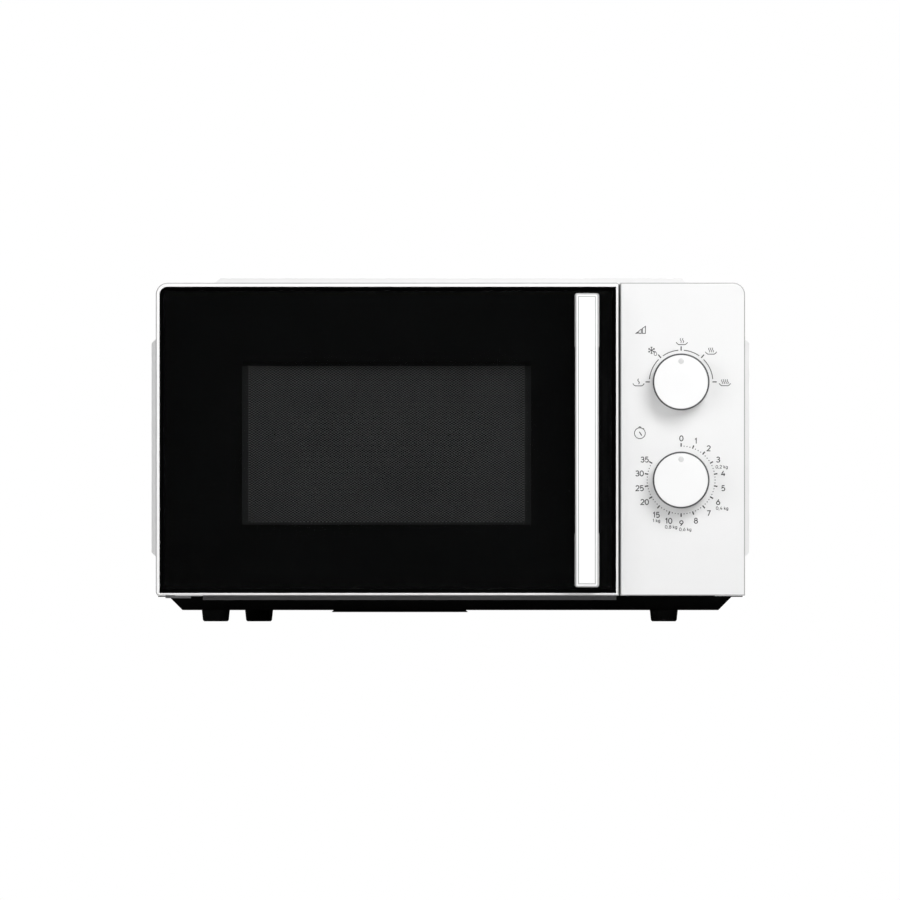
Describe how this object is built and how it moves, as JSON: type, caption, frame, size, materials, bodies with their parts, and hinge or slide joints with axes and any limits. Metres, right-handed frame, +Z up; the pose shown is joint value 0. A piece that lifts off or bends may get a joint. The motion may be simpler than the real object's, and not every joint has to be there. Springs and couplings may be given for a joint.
{
  "type": "microwave oven",
  "caption": "Free-standing microwave oven with a side-hinged glass door, upright pull handle, turntable, and power and timer knobs.",
  "frame": {"origin": "on the surface the oven stands on, under the middle of its bounding box", "axes": "+X to the right seen from the front, +Y to the back, +Z up; the door faces -Y"},
  "size_m": [0.452, 0.374, 0.2594],
  "materials": {
    "white_painted_steel": "satin",
    "galvanised_steel": "dull",
    "black_painted_steel": "satin",
    "sill_steel": "satin",
    "grey_enamel": "gloss",
    "white_plastic": "gloss",
    "black_rubber": "matte",
    "door_glass": "polished",
    "black_plastic": "matte",
    "natural_plastic": "satin",
    "spring_steel": "bright",
    "clear_glass": "polished",
    "mica": "matte",
    "aluminium": "satin",
    "transformer_iron": "varnished",
    "copper_wire": "enamelled",
    "circuit_board": "matte",
    "lead_insulation": "satin",
    "screw_steel": "bright"
  },
  "bodies": {
    "case": {"air_duct": "black_plastic", "base_plate": "black_painted_steel", "capacitor": "aluminium", "capacitor_clamp": "galvanised_steel", "case_screws": "screw_steel", "cavity": "grey_enamel", "control_panel": "white_plastic", "cord_gland": "black_rubber", "door_switches": "black_plastic", "fan_motor": "galvanised_steel", "fan_shroud": "black_plastic", "filter_board": "circuit_board", "foot_front_left": "black_rubber", "foot_front_right": "black_rubber", "foot_rear_left": "black_rubber", "foot_rear_right": "black_rubber", "front_frame": "grey_enamel", "front_sill": "sill_steel", "hinge_lower": "galvanised_steel", "hinge_upper": "galvanised_steel", "hv_diode": "black_plastic", "interlock_bracket": "galvanised_steel", "lamp_holder": "galvanised_steel", "magnetron_tube": "aluminium", "magnetron_yoke": "galvanised_steel", "motor_cover": "black_painted_steel", "outer_cover": "white_painted_steel", "oven_lamp": "clear_glass", "rear_panel": "galvanised_steel", "thermostats": "black_plastic", "timer_bell": "spring_steel", "timer_unit": "natural_plastic", "transformer_core": "transformer_iron", "transformer_windings": "copper_wire", "turntable_motor": "galvanised_steel", "waveguide": "aluminium", "waveguide_cover": "mica", "wiring": "lead_insulation"},
    "door": {"door_frame": "white_plastic", "door_glass": "door_glass", "door_screen": "black_painted_steel", "door_choke": "galvanised_steel", "choke_cover": "black_plastic", "handle": "white_plastic", "handle_screws": "screw_steel", "latch_spring": "spring_steel"},
    "latch": {"latch_key": "natural_plastic"},
    "power_control": {"power_knob": "white_plastic", "power_shaft": "spring_steel"},
    "timer_control": {"timer_knob": "white_plastic", "timer_shaft": "spring_steel"},
    "coupler": {"drive_coupler": "natural_plastic"},
    "tray": {"glass_tray": "clear_glass"},
    "ring": {"roller_ring": "natural_plastic"},
    "wheel_1": {"roller_wheel_1": "natural_plastic"},
    "wheel_2": {"roller_wheel_2": "natural_plastic"},
    "wheel_3": {"roller_wheel_3": "natural_plastic"},
    "fan": {"fan_blade": "black_plastic"},
    "plungers": {"switch_plungers": "natural_plastic"}
  },
  "joints": [
    {"name": "door_hinge", "type": "hinge", "parent": "case", "child": "door", "pos_m": [-0.211, -0.1355, 0.1375], "axis": [0, 0, -1], "range_deg": [0, 100]},
    {"name": "latch_slide", "type": "slide", "parent": "door", "child": "latch", "axis": [0, 0, 1], "range_m": [0, 0.004], "stiffness_N_per_m": 400, "springref_m": -0.005, "deforming": ["latch_spring"]},
    {"name": "power_knob_turn", "type": "hinge", "parent": "case", "child": "power_control", "pos_m": [0.1745, -0.16, 0.1811], "axis": [0, 1, 0], "range_deg": [-90, 90]},
    {"name": "timer_knob_turn", "type": "hinge", "parent": "case", "child": "timer_control", "pos_m": [0.1745, -0.16, 0.1069], "axis": [0, 1, 0], "range_deg": [0, 300]},
    {"name": "turntable_spin", "type": "hinge", "parent": "case", "child": "coupler", "pos_m": [-0.0478, 0.0285, 0.045], "axis": [0, 0, 1], "continuous": true},
    {"name": "tray_lift", "type": "slide", "parent": "coupler", "child": "tray", "axis": [0, 0, 1], "range_m": [0, 0.04]},
    {"name": "roller_ring_spin", "type": "hinge", "parent": "case", "child": "ring", "pos_m": [-0.0478, 0.0285, 0.0475], "axis": [0, 0, 1], "continuous": true},
    {"name": "wheel_1_spin", "type": "hinge", "parent": "ring", "child": "wheel_1", "pos_m": [0.0492, 0.0285, 0.0475], "axis": [1, 0, 0], "continuous": true},
    {"name": "wheel_2_spin", "type": "hinge", "parent": "ring", "child": "wheel_2", "pos_m": [-0.0963, 0.1125, 0.0475], "axis": [-0.5, 0.866, 0], "continuous": true},
    {"name": "wheel_3_spin", "type": "hinge", "parent": "ring", "child": "wheel_3", "pos_m": [-0.0963, -0.0555, 0.0475], "axis": [-0.5, -0.866, 0], "continuous": true},
    {"name": "fan_spin", "type": "hinge", "parent": "case", "child": "fan", "pos_m": [0.165, 0.159, 0.14], "axis": [0, 1, 0], "continuous": true},
    {"name": "plunger_travel", "type": "slide", "parent": "case", "child": "plungers", "axis": [0, -1, 0], "range_m": [0, 0.0015]}
  ],
  "couplings": [
    {"joint": "roller_ring_spin", "follows": "turntable_spin", "ratio": 0.5},
    {"joint": "wheel_1_spin", "follows": "turntable_spin", "ratio": -5.7059},
    {"joint": "wheel_2_spin", "follows": "turntable_spin", "ratio": -5.7059},
    {"joint": "wheel_3_spin", "follows": "turntable_spin", "ratio": -5.7059},
    {"joint": "plunger_travel", "follows": "door_hinge", "m_per_rad": 0.00085}
  ]
}
